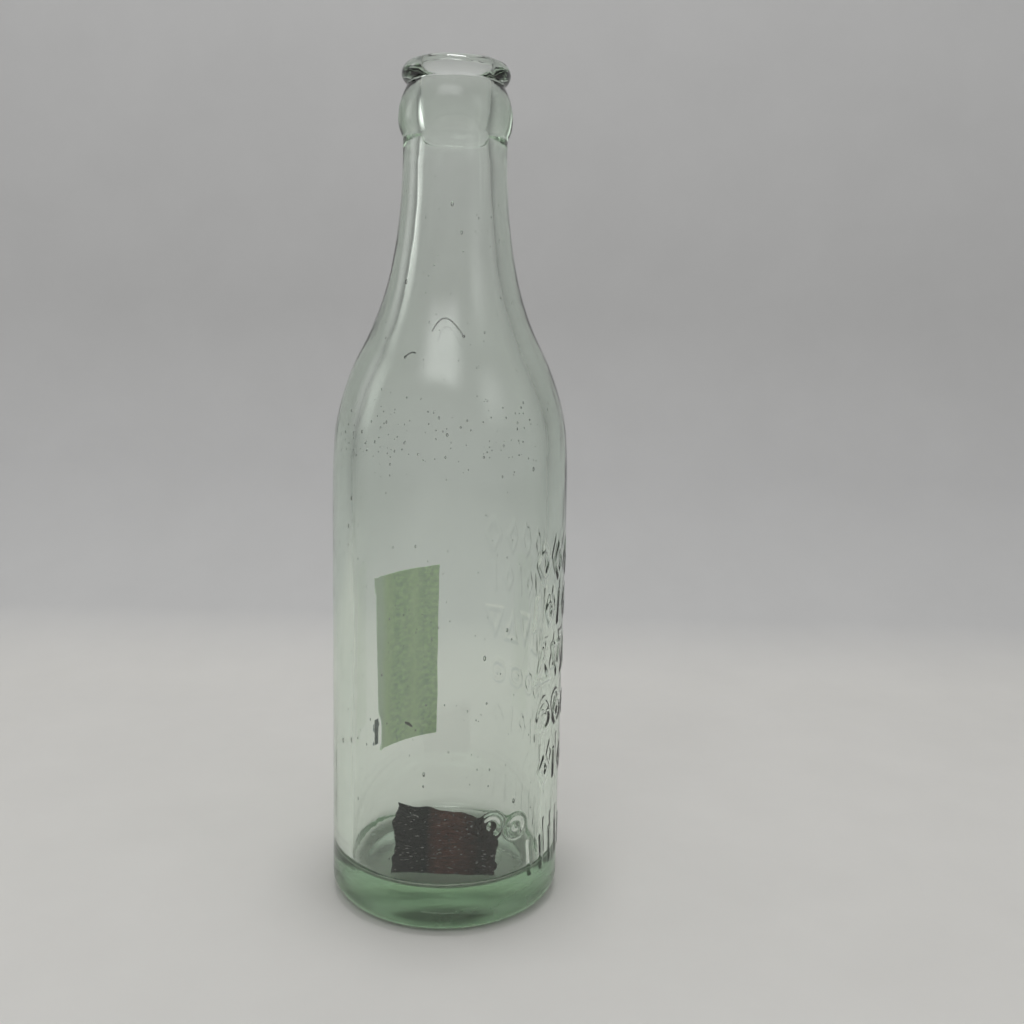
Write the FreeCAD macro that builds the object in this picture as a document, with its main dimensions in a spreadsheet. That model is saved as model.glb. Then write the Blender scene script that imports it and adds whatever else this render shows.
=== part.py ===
"""A returnable soda bottle: one moulded glass piece, a paper sticker and a scrap left inside.

The frame has +Z up the bottle and its origin at the centre of the resting plane. All sizes are
in millimetres, and every driving size is in the spreadsheet that sheet_of_sizes() fills.
"""

import FreeCAD, Part
import Sketcher
import math
import os

# Name, value and meaning of each driving size.
DRIVING_SIZES = [
    ("bottle_height", 210.6, "resting plane to the top of the lip"),
    ("body_diameter", 60.0, "straight outer wall"),
    ("body_bore", 50.0, "inner diameter of the straight wall"),
    ("heel_radius", 4.6, "rounding between the wall and the resting ring"),
    ("resting_ring_bore", 44.0, "inner diameter of the flat resting ring"),
    ("push_up_height", 3.2, "depth of the hollow under the base"),
    ("floor_height", 10.0, "resting plane to the floor inside"),
    ("floor_corner_radius", 3.0, "rounding between the floor and the inner wall"),
    ("shoulder_start", 112.5, "height where the straight wall ends"),
    ("shoulder_radius", 64.0, "convex round of the shoulder, outside"),
    ("flank_angle", 27.2, "steepest lean of the shoulder from upright, degrees"),
    ("sweep_radius", 70.0, "concave round above the shoulder, outside"),
    ("neck_start", 161.9, "height where the long neck curve begins"),
    ("neck_sweep_radius", 140.0, "long concave round into the neck, outside"),
    ("neck_diameter", 25.7, "upper neck, outside"),
    ("neck_bore", 17.7, "upper neck, inside"),
    ("neck_wall", 4.5, "glass between the inner and outer sweeps"),
    ("collar_diameter", 28.1, "widest part of the collar"),
    ("collar_widest_height", 197.3, "height of the collar's widest part"),
    ("collar_round_radius", 8.0, "round below the collar's widest part"),
    ("crease_diameter", 23.3, "groove between the collar and the lip bead"),
    ("bead_diameter", 26.7, "lip bead that a 26 mm crown cap grips"),
    ("bead_thickness", 5.2, "height of the lip bead"),
    ("mouth_bore", 16.8, "cylindrical bore behind the finish"),
    ("mouth_bore_start", 192.0, "lower end of the cylindrical bore"),
    ("mouth_rounding", 1.3, "rounding at the inner edge of the lip"),
    ("relief_height", 0.3, "how far the moulded ornament stands out"),
    ("relief_stroke", 1.2, "width of the ornament's strokes"),
    ("label_top_width", 25.2, "paper sticker at its top, measured round the wall"),
    ("label_foot_width", 21.6, "paper sticker at its foot, measured round the wall"),
    ("label_length", 50.2, "paper sticker, foot to top along its left edge"),
    ("label_tilt", 1.8, "how much higher the sticker's right corners stand"),
    ("label_thickness", 0.25, "paper with its glue"),
    ("label_bottom", 29.3, "height of the sticker's lower left corner"),
    ("label_start_angle", 99.8, "direction of the sticker's right edge, degrees from +X"),
    ("remnant_width", 3.1, "strip of an older sticker"),
    ("remnant_length", 7.5, "strip of an older sticker, top to bottom"),
    ("remnant_bottom", 31.8, "height of the strip's lower edge"),
    ("remnant_start_angle", 142.4, "direction of the strip's right edge, degrees from +X"),
    ("scrap_width", 26.4, "scrap, left to right"),
    ("scrap_left_height", 16.7, "scrap at its tall end"),
    ("scrap_right_height", 12.2, "scrap at its low end"),
    ("scrap_depth", 8.0, "scrap, front to back"),
    ("scrap_left", -12.6, "place of the tall end along X"),
    ("scrap_front", -16.4, "place of the front face along Y"),
]

SKETCH_ORIGIN = (-1, 1)
HORIZONTAL_AXIS = -1
VERTICAL_AXIS = -2
START, END, CENTRE = 1, 2, 3


# ---------------------------------------------------------------- document and small helpers

def sheet_of_sizes(doc):
    """Fill the spreadsheet with the driving sizes, one alias each."""
    sheet = doc.addObject("Spreadsheet::Sheet", "sizes")
    for row, (name, value, meaning) in enumerate(DRIVING_SIZES, start=1):
        sheet.set("A%d" % row, name)
        sheet.set("B%d" % row, str(value))
        sheet.set("C%d" % row, meaning)
        sheet.setAlias("B%d" % row, name)
    doc.recompute()
    return sheet


def body_with_label(doc, label):
    body = doc.addObject("PartDesign::Body", label + "_body")
    body.Label = label
    return body


def sketch_on(body, role, name):
    """A sketch attached to one of the body's own origin planes."""
    plane = next(item for item in body.Origin.OriginFeatures if item.Role == role)
    sketch = body.newObject("Sketcher::SketchObject", name)
    sketch.AttachmentSupport = [(plane, "")]
    sketch.MapMode = "FlatFace"
    return sketch


def add_line(sketch, start, end):
    """Add a line and return it as (geometry, first end, last end)."""
    segment = Part.LineSegment(FreeCAD.Vector(*start, 0), FreeCAD.Vector(*end, 0))
    return sketch.addGeometry(segment, False), START, END


def add_arc(sketch, centre, radius, from_degrees, to_degrees):
    """Add an arc that runs from one direction to another, either way round."""
    first = math.radians(min(from_degrees, to_degrees))
    last = math.radians(max(from_degrees, to_degrees))
    circle = Part.Circle(FreeCAD.Vector(*centre, 0), FreeCAD.Vector(0, 0, 1), radius)
    geometry = sketch.addGeometry(Part.ArcOfCircle(circle, first, last), False)
    if from_degrees < to_degrees:
        return geometry, START, END
    return geometry, END, START


def on_arc(centre, radius, degrees):
    """The point of a circle in a given direction."""
    angle = math.radians(degrees)
    return centre[0] + radius * math.cos(angle), centre[1] + radius * math.sin(angle)


def join(sketch, before, after, smooth=False):
    """Fasten the end of one piece of outline to the start of the next."""
    kind = "Tangent" if smooth else "Coincident"
    sketch.addConstraint(Sketcher.Constraint(kind, before[0], before[2], after[0], after[1]))


def pin_to_axis(sketch, piece, point, axis):
    sketch.addConstraint(Sketcher.Constraint("PointOnObject", piece[0], point, axis))


def bind(sketch, name, expression, constraint):
    """Add a named dimension and bind it to the spreadsheet."""
    index = sketch.addConstraint(constraint)
    sketch.renameConstraint(index, name)
    sketch.setExpression("Constraints." + name, expression)


def bind_across(sketch, name, expression, piece, point, value):
    """Distance of a point from the bottle's axis."""
    constraint = Sketcher.Constraint("DistanceX", *SKETCH_ORIGIN, piece[0], point, value)
    bind(sketch, name, expression, constraint)


def bind_height(sketch, name, expression, piece, point, value):
    """Height of a point above the resting plane."""
    constraint = Sketcher.Constraint("DistanceY", *SKETCH_ORIGIN, piece[0], point, value)
    bind(sketch, name, expression, constraint)


def bind_radius(sketch, name, expression, piece, value):
    bind(sketch, name, expression, Sketcher.Constraint("Radius", piece[0], value))


def revolve(body, kind, name, sketch):
    """Turn a sketch about the bottle's axis, to add glass or to remove it."""
    feature = body.newObject("PartDesign::" + kind, name)
    feature.Profile = sketch
    feature.ReferenceAxis = (sketch, ["V_Axis"])
    feature.Angle = 360.0
    return feature


# ---------------------------------------------------------------- the glass, turned

def sweep_into_neck(shoulder_end, lean, sweep_radius, neck_radius, long_radius, joint_turn):
    """The centres of the two concave arcs that lead a leaning flank into an upright neck."""
    sweep_drop = sweep_radius * (math.cos(joint_turn) - math.cos(lean))
    long_drop = long_radius * (1.0 - math.cos(joint_turn))
    flank_length = (shoulder_end[0] - neck_radius - sweep_drop - long_drop) / math.sin(lean)
    flank_end = (shoulder_end[0] - flank_length * math.sin(lean),
                 shoulder_end[1] + flank_length * math.cos(lean))
    sweep_centre = (flank_end[0] + sweep_radius * math.cos(lean),
                    flank_end[1] + sweep_radius * math.sin(lean))
    joint_height = sweep_centre[1] - sweep_radius * math.sin(joint_turn)
    long_centre = (neck_radius + long_radius, joint_height + long_radius * math.sin(joint_turn))
    return flank_end, sweep_centre, long_centre, joint_height


def joint_turn_at(shoulder_end, lean, sweep_radius, neck_radius, long_radius, joint_height):
    """The lean, in radians, at which the two concave arcs meet at the asked height."""
    low, high = 0.0, lean
    for _ in range(60):
        middle = (low + high) / 2.0
        reached = sweep_into_neck(shoulder_end, lean, sweep_radius, neck_radius,
                                  long_radius, middle)[3]
        if reached > joint_height:
            low = middle
        else:
            high = middle
    return (low + high) / 2.0


def draw_outer_outline(sketch, sheet):
    """Half of the bottle's outer section, closed along the axis."""
    radius = sheet.body_diameter / 2
    heel = sheet.heel_radius
    lean = math.radians(sheet.flank_angle)
    neck_radius = sheet.neck_diameter / 2
    bead_radius = sheet.bead_thickness / 2

    ring_radius = sheet.resting_ring_bore / 2
    dome_radius = (ring_radius ** 2 + sheet.push_up_height ** 2) / (2 * sheet.push_up_height)
    dome_centre = (0.0, sheet.push_up_height - dome_radius)
    dome_edge = math.degrees(math.acos(ring_radius / dome_radius))
    dome = add_arc(sketch, dome_centre, dome_radius, 90, dome_edge)
    ring = add_line(sketch, (ring_radius, 0), (radius - heel, 0))
    heel_arc = add_arc(sketch, (radius - heel, heel), heel, -90, 0)
    wall = add_line(sketch, (radius, heel), (radius, sheet.shoulder_start))

    shoulder_centre = (radius - sheet.shoulder_radius, sheet.shoulder_start)
    shoulder_end = on_arc(shoulder_centre, sheet.shoulder_radius, sheet.flank_angle)
    joint_turn = joint_turn_at(shoulder_end, lean, sheet.sweep_radius, neck_radius,
                               sheet.neck_sweep_radius, sheet.neck_start)
    flank_end, sweep_centre, long_centre, _ = sweep_into_neck(
        shoulder_end, lean, sheet.sweep_radius, neck_radius, sheet.neck_sweep_radius, joint_turn)
    joint_degrees = 180 + math.degrees(joint_turn)
    shoulder = add_arc(sketch, shoulder_centre, sheet.shoulder_radius, 0, sheet.flank_angle)
    flank = add_line(sketch, shoulder_end, flank_end)
    sweep = add_arc(sketch, sweep_centre, sheet.sweep_radius, 180 + sheet.flank_angle,
                    joint_degrees)
    long_sweep = add_arc(sketch, long_centre, sheet.neck_sweep_radius, joint_degrees, 180)

    collar_radius = sheet.collar_round_radius
    widest = sheet.collar_diameter / 2
    collar_centre = (widest - collar_radius, sheet.collar_widest_height)
    collar_foot = -math.degrees(math.acos((neck_radius - collar_centre[0]) / collar_radius))
    bead_centre = (sheet.bead_diameter / 2 - bead_radius, sheet.bottle_height - bead_radius)
    crease_across = sheet.crease_diameter / 2 - bead_centre[0]
    crease_degrees = -math.degrees(math.acos(crease_across / bead_radius))
    crease = on_arc(bead_centre, bead_radius, crease_degrees)
    inset, rise = widest - crease[0], crease[1] - sheet.collar_widest_height
    barrel_radius = (inset ** 2 + rise ** 2) / (2 * inset)
    barrel_centre = (widest - barrel_radius, sheet.collar_widest_height)
    barrel_top = math.degrees(math.asin(rise / barrel_radius))
    neck = add_line(sketch, (neck_radius, long_centre[1]),
                    on_arc(collar_centre, collar_radius, collar_foot))
    collar = add_arc(sketch, collar_centre, collar_radius, collar_foot, 0)
    barrel = add_arc(sketch, barrel_centre, barrel_radius, 0, barrel_top)
    bead = add_arc(sketch, bead_centre, bead_radius, crease_degrees, 90)
    top = add_line(sketch, (bead_centre[0], sheet.bottle_height), (0, sheet.bottle_height))
    axis = add_line(sketch, (0, sheet.bottle_height), (0, sheet.push_up_height))

    join(sketch, dome, ring)
    join(sketch, ring, heel_arc, smooth=True)
    join(sketch, heel_arc, wall, smooth=True)
    join(sketch, wall, shoulder, smooth=True)
    join(sketch, shoulder, flank, smooth=True)
    join(sketch, flank, sweep, smooth=True)
    join(sketch, sweep, long_sweep, smooth=True)
    join(sketch, long_sweep, neck, smooth=True)
    join(sketch, neck, collar)
    join(sketch, collar, barrel, smooth=True)
    join(sketch, barrel, bead)
    join(sketch, bead, top, smooth=True)
    join(sketch, top, axis)
    join(sketch, axis, dome)

    pin_to_axis(sketch, dome, CENTRE, VERTICAL_AXIS)
    pin_to_axis(sketch, dome, dome[1], VERTICAL_AXIS)
    pin_to_axis(sketch, ring, START, HORIZONTAL_AXIS)
    pin_to_axis(sketch, ring, END, HORIZONTAL_AXIS)
    pin_to_axis(sketch, top, END, VERTICAL_AXIS)
    sketch.addConstraint(Sketcher.Constraint("Vertical", wall[0]))
    sketch.addConstraint(Sketcher.Constraint("Vertical", neck[0]))
    sketch.addConstraint(Sketcher.Constraint("Horizontal", top[0]))

    bind_height(sketch, "push_up", "sizes.push_up_height", dome, dome[1], sheet.push_up_height)
    bind_across(sketch, "ring_bore", "sizes.resting_ring_bore / 2", ring, START, ring_radius)
    bind_radius(sketch, "heel", "sizes.heel_radius", heel_arc, heel)
    bind_across(sketch, "body_radius", "sizes.body_diameter / 2", wall, END, radius)
    bind_height(sketch, "wall_top", "sizes.shoulder_start", wall, END, sheet.shoulder_start)
    bind_radius(sketch, "shoulder", "sizes.shoulder_radius", shoulder, sheet.shoulder_radius)
    bind(sketch, "flank_lean", "(90 + sizes.flank_angle) * 1 deg",
         Sketcher.Constraint("Angle", flank[0], math.radians(90 + sheet.flank_angle)))
    bind_radius(sketch, "sweep", "sizes.sweep_radius", sweep, sheet.sweep_radius)
    bind_radius(sketch, "long_sweep", "sizes.neck_sweep_radius", long_sweep,
                sheet.neck_sweep_radius)
    bind_height(sketch, "neck_foot", "sizes.neck_start", sweep, sweep[2], sheet.neck_start)
    bind_across(sketch, "neck_radius", "sizes.neck_diameter / 2", neck, END, neck_radius)
    bind_radius(sketch, "collar_round", "sizes.collar_round_radius", collar, collar_radius)
    bind_across(sketch, "collar_across", "sizes.collar_diameter / 2 - sizes.collar_round_radius",
                collar, CENTRE, collar_centre[0])
    bind_height(sketch, "collar_height", "sizes.collar_widest_height", collar, CENTRE,
                collar_centre[1])
    sketch.addConstraint(Sketcher.Constraint("Horizontal", collar[0], END, collar[0], CENTRE))
    bind_radius(sketch, "bead_round", "sizes.bead_thickness / 2", bead, bead_radius)
    bind_across(sketch, "bead_across", "(sizes.bead_diameter - sizes.bead_thickness) / 2",
                bead, CENTRE, bead_centre[0])
    bind_across(sketch, "crease_radius", "sizes.crease_diameter / 2", bead, START,
                sheet.crease_diameter / 2)
    bind_height(sketch, "lip_top", "sizes.bottle_height", top, START, sheet.bottle_height)


def draw_inner_outline(sketch, sheet):
    """Half of the hollow's section, closed along the axis and carried above the lip."""
    radius = sheet.body_bore / 2
    corner = sheet.floor_corner_radius
    floor = sheet.floor_height
    wall_thickness = (sheet.body_diameter - sheet.body_bore) / 2
    shoulder_radius = sheet.shoulder_radius - wall_thickness
    lean = math.radians(sheet.flank_angle)
    sweep_radius = sheet.sweep_radius + sheet.neck_wall
    long_radius = sheet.neck_sweep_radius + sheet.neck_wall
    neck_radius = sheet.neck_bore / 2
    mouth_radius = sheet.mouth_bore / 2
    rounding = sheet.mouth_rounding
    above_lip = sheet.bottle_height + rounding

    floor_line = add_line(sketch, (0, floor), (radius - corner, floor))
    corner_arc = add_arc(sketch, (radius - corner, floor + corner), corner, -90, 0)
    wall = add_line(sketch, (radius, floor + corner), (radius, sheet.shoulder_start))
    shoulder_centre = (radius - shoulder_radius, sheet.shoulder_start)
    shoulder_end = on_arc(shoulder_centre, shoulder_radius, sheet.flank_angle)
    joint_height = sheet.neck_start - sheet.neck_wall / 2
    joint_turn = joint_turn_at(shoulder_end, lean, sweep_radius, neck_radius, long_radius,
                               joint_height)
    flank_end, sweep_centre, long_centre, _ = sweep_into_neck(
        shoulder_end, lean, sweep_radius, neck_radius, long_radius, joint_turn)
    joint_degrees = 180 + math.degrees(joint_turn)
    shoulder = add_arc(sketch, shoulder_centre, shoulder_radius, 0, sheet.flank_angle)
    flank = add_line(sketch, shoulder_end, flank_end)
    sweep = add_arc(sketch, sweep_centre, sweep_radius, 180 + sheet.flank_angle, joint_degrees)
    long_sweep = add_arc(sketch, long_centre, long_radius, joint_degrees, 180)
    throat = add_line(sketch, (neck_radius, long_centre[1]),
                      (mouth_radius, sheet.mouth_bore_start))
    mouth = add_line(sketch, (mouth_radius, sheet.mouth_bore_start),
                     (mouth_radius, sheet.bottle_height - rounding))
    lip_arc = add_arc(sketch, (mouth_radius + rounding, sheet.bottle_height - rounding),
                      rounding, 180, 90)
    lip_edge = add_line(sketch, (mouth_radius + rounding, sheet.bottle_height),
                        (mouth_radius + rounding, above_lip))
    top = add_line(sketch, (mouth_radius + rounding, above_lip), (0, above_lip))
    axis = add_line(sketch, (0, above_lip), (0, floor))

    join(sketch, floor_line, corner_arc, smooth=True)
    join(sketch, corner_arc, wall, smooth=True)
    join(sketch, wall, shoulder, smooth=True)
    join(sketch, shoulder, flank, smooth=True)
    join(sketch, flank, sweep, smooth=True)
    join(sketch, sweep, long_sweep, smooth=True)
    join(sketch, long_sweep, throat)
    join(sketch, throat, mouth)
    join(sketch, mouth, lip_arc, smooth=True)
    join(sketch, lip_arc, lip_edge)
    join(sketch, lip_edge, top)
    join(sketch, top, axis)
    join(sketch, axis, floor_line)

    pin_to_axis(sketch, floor_line, START, VERTICAL_AXIS)
    pin_to_axis(sketch, top, END, VERTICAL_AXIS)
    for piece in (wall, mouth, lip_edge):
        sketch.addConstraint(Sketcher.Constraint("Vertical", piece[0]))
    for piece in (floor_line, top):
        sketch.addConstraint(Sketcher.Constraint("Horizontal", piece[0]))

    bind_height(sketch, "floor", "sizes.floor_height", floor_line, START, floor)
    bind_radius(sketch, "corner", "sizes.floor_corner_radius", corner_arc, corner)
    bind_across(sketch, "bore_radius", "sizes.body_bore / 2", wall, END, radius)
    bind_height(sketch, "wall_top", "sizes.shoulder_start", wall, END, sheet.shoulder_start)
    bind_radius(sketch, "shoulder",
                "sizes.shoulder_radius - (sizes.body_diameter - sizes.body_bore) / 2",
                shoulder, shoulder_radius)
    bind(sketch, "flank_lean", "(90 + sizes.flank_angle) * 1 deg",
         Sketcher.Constraint("Angle", flank[0], math.radians(90 + sheet.flank_angle)))
    bind_radius(sketch, "sweep", "sizes.sweep_radius + sizes.neck_wall", sweep, sweep_radius)
    bind_radius(sketch, "long_sweep", "sizes.neck_sweep_radius + sizes.neck_wall",
                long_sweep, long_radius)
    bind_height(sketch, "neck_foot", "sizes.neck_start - sizes.neck_wall / 2",
                sweep, sweep[2], joint_height)
    bind_across(sketch, "neck_radius", "sizes.neck_bore / 2", throat, START, neck_radius)
    sketch.addConstraint(Sketcher.Constraint("Horizontal", long_sweep[0], long_sweep[2],
                                             long_sweep[0], CENTRE))
    bind_across(sketch, "mouth_radius", "sizes.mouth_bore / 2", mouth, START, mouth_radius)
    bind_height(sketch, "mouth_start", "sizes.mouth_bore_start", mouth, START,
                sheet.mouth_bore_start)
    bind_radius(sketch, "mouth_round", "sizes.mouth_rounding", lip_arc, rounding)
    bind_height(sketch, "lip_top", "sizes.bottle_height", lip_edge, START, sheet.bottle_height)
    bind_height(sketch, "above_lip", "sizes.bottle_height + sizes.mouth_rounding", top, END,
                above_lip)


def make_turned_glass(doc, sheet):
    """The bottle without its ornament: the outer shape turned, then the hollow turned out."""
    body = body_with_label(doc, "turned_glass")
    outer = sketch_on(body, "XZ_Plane", "outer_outline")
    draw_outer_outline(outer, sheet)
    doc.recompute()
    solid = revolve(body, "Revolution", "outer_shape", outer)
    doc.recompute()
    solid_volume = body.Shape.Volume
    inner = sketch_on(body, "XZ_Plane", "inner_outline")
    draw_inner_outline(inner, sheet)
    doc.recompute()
    revolve(body, "Groove", "hollow", inner)
    doc.recompute()
    if body.Shape.Volume > 0.9 * solid_volume:
        raise RuntimeError("the hollow removed no glass")
    print("outer shape %.0f mm3, glass %.0f mm3" % (solid_volume, body.Shape.Volume))
    return body


# ---------------------------------------------------------------- the moulded ornament

def diamond_mark(half_width, half_height, stroke):
    """A hollow diamond: its outer corners, then its inner ones."""
    thickness_ratio = stroke * math.hypot(half_width, half_height) / (half_width * half_height)
    inner = 1.0 - thickness_ratio
    corners = [(half_width, 0), (0, half_height), (-half_width, 0), (0, -half_height)]
    return [corners, [(across * inner, up * inner) for across, up in corners]]


def triangle_mark(half_width, half_height, stroke, points_up):
    """A hollow triangle that points up or down."""
    way = 1 if points_up else -1
    corners = [(-half_width, -half_height * way), (half_width, -half_height * way),
               (0, half_height * way)]
    side = math.hypot(half_width, 2 * half_height)
    inner_radius = 2 * half_width * half_height / (half_width + side)
    inner = 1.0 - stroke / inner_radius
    centre_up = -way * (half_height - inner_radius)
    hole = [(across * inner, centre_up + (up - centre_up) * inner) for across, up in corners]
    return [corners, hole]


def slanted_bar_mark(half_height, stroke, lean):
    """A parallelogram with level ends; lean is how far its top moves sideways."""
    half_width = stroke / 2
    return [[(-half_width - lean, -half_height), (half_width - lean, -half_height),
             (half_width + lean, half_height), (-half_width + lean, half_height)]]


def round_outline(radius):
    turns = [math.radians(15 * step) for step in range(24)]
    return [(radius * math.cos(turn), radius * math.sin(turn)) for turn in turns]


def ornament_marks(stroke):
    """Every mark as (direction in degrees, height, outlines in the plane of the wall there)."""
    ring = [round_outline(3.4), round_outline(3.4 - stroke)]
    bead = [round_outline(1.0)]
    marks = []
    for step in range(8):
        marks.append((-36 + 14.5 * step, 91.0, diamond_mark(2.9, 5.1, stroke)))
    for step in range(11):
        outlines = [slanted_bar_mark(4.2, stroke, 0.4), diamond_mark(2.3, 4.2, stroke)][step % 2]
        marks.append((-41 + 10.5 * step, 79.0, outlines))
    for step in range(8):
        marks.append((-35 + 14.0 * step, 65.6, triangle_mark(3.6, 4.6, stroke, step % 2 == 0)))
    for step in range(7):
        marks.append((-33 + 15.5 * step, 51.4, ring))
        marks.append((-33 + 15.5 * step, 51.4, bead))
    for step in range(9):
        outlines = [diamond_mark(2.5, 3.9, stroke), slanted_bar_mark(3.9, stroke, 0.0)][step % 2]
        marks.append((-32 + 11.5 * step, 37.9, outlines))
    for step in range(2):
        marks.append((-65 + 13.5 * step, 27.5 - 1.5 * step, ring))
        marks.append((-65 + 13.5 * step, 27.5 - 1.5 * step, bead))
    for step in range(13):
        marks.append((-42 + 9.5 * step, 16.3, slanted_bar_mark(4.7, stroke, -0.5)))
    return marks


def mark_prism(outlines, direction, height, inner_radius, outer_radius):
    """One mark pushed out from inside the wall, along the direction that it faces."""
    wires = []
    for outline in outlines:
        points = [FreeCAD.Vector(inner_radius, across, up) for across, up in outline]
        wires.append(Part.makePolygon(points + points[:1]))
    face = Part.Face(wires[0])
    for hole in wires[1:]:
        face = face.cut(Part.Face(hole))
    prism = face.extrude(FreeCAD.Vector(outer_radius - inner_radius, 0, 0))
    prism.rotate(FreeCAD.Vector(0, 0, 0), FreeCAD.Vector(0, 0, 1), direction)
    prism.translate(FreeCAD.Vector(0, 0, height))
    return prism


def make_ornament(doc, sheet):
    """The raised panel: rows of plain marks wrapped round the wall."""
    wall_radius = sheet.body_diameter / 2
    root = wall_radius - 1.2
    crest = wall_radius + sheet.relief_height
    beyond = crest + 1.0
    drum = Part.makeCylinder(crest, sheet.shoulder_start)
    prisms = [mark_prism(outlines, direction, height, root, beyond)
              for direction, height, outlines in ornament_marks(sheet.relief_stroke)]
    ornament = doc.addObject("Part::Feature", "ornament")
    ornament.Shape = Part.makeCompound([prism.common(drum) for prism in prisms])
    ornament.Placement = FreeCAD.Placement()
    return ornament


def make_glass_bottle(doc, sheet):
    turned = make_turned_glass(doc, sheet)
    ornament = make_ornament(doc, sheet)
    bottle = doc.addObject("Part::MultiFuse", "glass_bottle_fusion")
    bottle.Label = "glass_bottle"
    bottle.Shapes = [turned, ornament]
    bottle.Refine = False
    doc.recompute()
    if bottle.Shape.Volume <= turned.Shape.Volume:
        raise RuntimeError("the ornament added no glass")
    return bottle


# ---------------------------------------------------------------- paper and scrap

def make_sticker(doc, sheet):
    """The green sticker: a four-cornered sheet, wider at its top, wrapped round the wall."""
    wall_radius = sheet.body_diameter / 2
    outer_radius = wall_radius + sheet.label_thickness
    top_turn = math.degrees(sheet.label_top_width / wall_radius)
    foot_turn = math.degrees(sheet.label_foot_width / wall_radius)
    middle = sheet.label_start_angle + top_turn / 2
    foot, top = sheet.label_bottom, sheet.label_bottom + sheet.label_length
    places = [(sheet.label_start_angle, foot + sheet.label_tilt),
              (sheet.label_start_angle, top + sheet.label_tilt),
              (sheet.label_start_angle + top_turn, top),
              (sheet.label_start_angle + foot_turn, foot)]
    corners = [(wall_radius * math.sin(math.radians(turn - middle)), height)
               for turn, height in places]
    prism = mark_prism([corners], middle, 0.0, wall_radius / 2, outer_radius + 1.0)
    shell = Part.makeCylinder(outer_radius, sheet.shoulder_start)
    shell = shell.cut(Part.makeCylinder(wall_radius, sheet.shoulder_start))
    sticker = doc.addObject("Part::Feature", "green_paper_label")
    sticker.Shape = shell.common(prism)
    sticker.Placement = FreeCAD.Placement()
    return sticker


def make_remnant(doc):
    """The strip left of an older sticker, beside the lower left edge of the green one."""
    outside = doc.addObject("Part::Cylinder", "remnant_outside")
    outside.setExpression("Radius", "(sizes.body_diameter / 2 + sizes.label_thickness) * 1 mm")
    outside.setExpression("Height", "sizes.remnant_length * 1 mm")
    outside.setExpression("Angle", "sizes.remnant_width / (sizes.body_diameter / 2)"
                                   " * 180 / 3.14159265 * 1 deg")
    wall = doc.addObject("Part::Cylinder", "remnant_wall")
    wall.setExpression("Radius", "sizes.body_diameter / 2 * 1 mm")
    wall.setExpression("Height", "sizes.remnant_length * 1 mm")
    strip = doc.addObject("Part::Cut", "remnant_strip")
    strip.Label = "label_remnant"
    strip.Base = outside
    strip.Tool = wall
    strip.Placement = FreeCAD.Placement(FreeCAD.Vector(),
                                        FreeCAD.Rotation(FreeCAD.Vector(0, 0, 1), 1))
    strip.setExpression("Placement.Base.z", "sizes.remnant_bottom * 1 mm")
    strip.setExpression("Placement.Rotation.Angle", "sizes.remnant_start_angle * 1 deg")
    return strip


def make_scrap(doc, sheet):
    """The dark scrap that lies on the floor inside: a wedge, taller at its left end."""
    body = body_with_label(doc, "dark_scrap")
    sketch = sketch_on(body, "XZ_Plane", "scrap_face")
    corners = [(0, 0), (sheet.scrap_width, 0), (sheet.scrap_width, sheet.scrap_right_height),
               (0, sheet.scrap_left_height)]
    sides = [add_line(sketch, corner, corners[(number + 1) % len(corners)])
             for number, corner in enumerate(corners)]
    for number, side in enumerate(sides):
        join(sketch, side, sides[(number + 1) % len(sides)])
    bottom, right, _, left = sides
    sketch.addConstraint(Sketcher.Constraint("Horizontal", bottom[0]))
    sketch.addConstraint(Sketcher.Constraint("Vertical", right[0]))
    sketch.addConstraint(Sketcher.Constraint("Vertical", left[0]))
    sketch.addConstraint(Sketcher.Constraint("Coincident", bottom[0], START, *SKETCH_ORIGIN))
    bind_across(sketch, "width", "sizes.scrap_width", bottom, END, sheet.scrap_width)
    bind_height(sketch, "right_height", "sizes.scrap_right_height", right, END,
                sheet.scrap_right_height)
    bind_height(sketch, "left_height", "sizes.scrap_left_height", left, START,
                sheet.scrap_left_height)
    doc.recompute()
    pad = body.newObject("PartDesign::Pad", "scrap_block")
    pad.Profile = sketch
    pad.setExpression("Length", "sizes.scrap_depth * 1 mm")
    pad.Reversed = True
    doc.recompute()
    body.setExpression("Placement.Base.x", "sizes.scrap_left * 1 mm")
    body.setExpression("Placement.Base.y", "sizes.scrap_front * 1 mm")
    body.setExpression("Placement.Base.z", "sizes.floor_height * 1 mm")
    return body


# ---------------------------------------------------------------- checks and files

def check_document(doc):
    for item in doc.Objects:
        if "Invalid" in item.State or "Error" in item.State:
            raise RuntimeError("%s failed: %s" % (item.Name, item.State))


def check_shape(item):
    shape = item.Shape
    if shape.isNull() or not shape.isValid() or not shape.Solids:
        raise RuntimeError("%s has no valid solid" % item.Label)
    box = shape.BoundBox
    print("%-18s solids %d  volume %9.1f mm3  X %.2f..%.2f  Y %.2f..%.2f  Z %.2f..%.2f"
          % (item.Label, len(shape.Solids), shape.Volume, box.XMin, box.XMax,
             box.YMin, box.YMax, box.ZMin, box.ZMax))


def main():
    doc = FreeCAD.newDocument("soda_bottle")
    sheet = sheet_of_sizes(doc)
    pieces = [make_glass_bottle(doc, sheet), make_sticker(doc, sheet), make_remnant(doc),
              make_scrap(doc, sheet)]
    doc.recompute()
    check_document(doc)
    os.makedirs("parts", exist_ok=True)
    for piece in pieces:
        check_shape(piece)
    for piece in pieces:
        piece.Shape.exportStep("parts/" + piece.Label + ".step")


main()
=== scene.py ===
"""Looks for the soda bottle: smooth glass with seeds and ripples, a paper sticker and a scrap.

Lengths in the tables below are in millimetres, as on a drawing; MM turns them into metres.
"""
import math

import bmesh
import bpy
import numpy as np
from mathutils import Matrix, Vector


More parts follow.
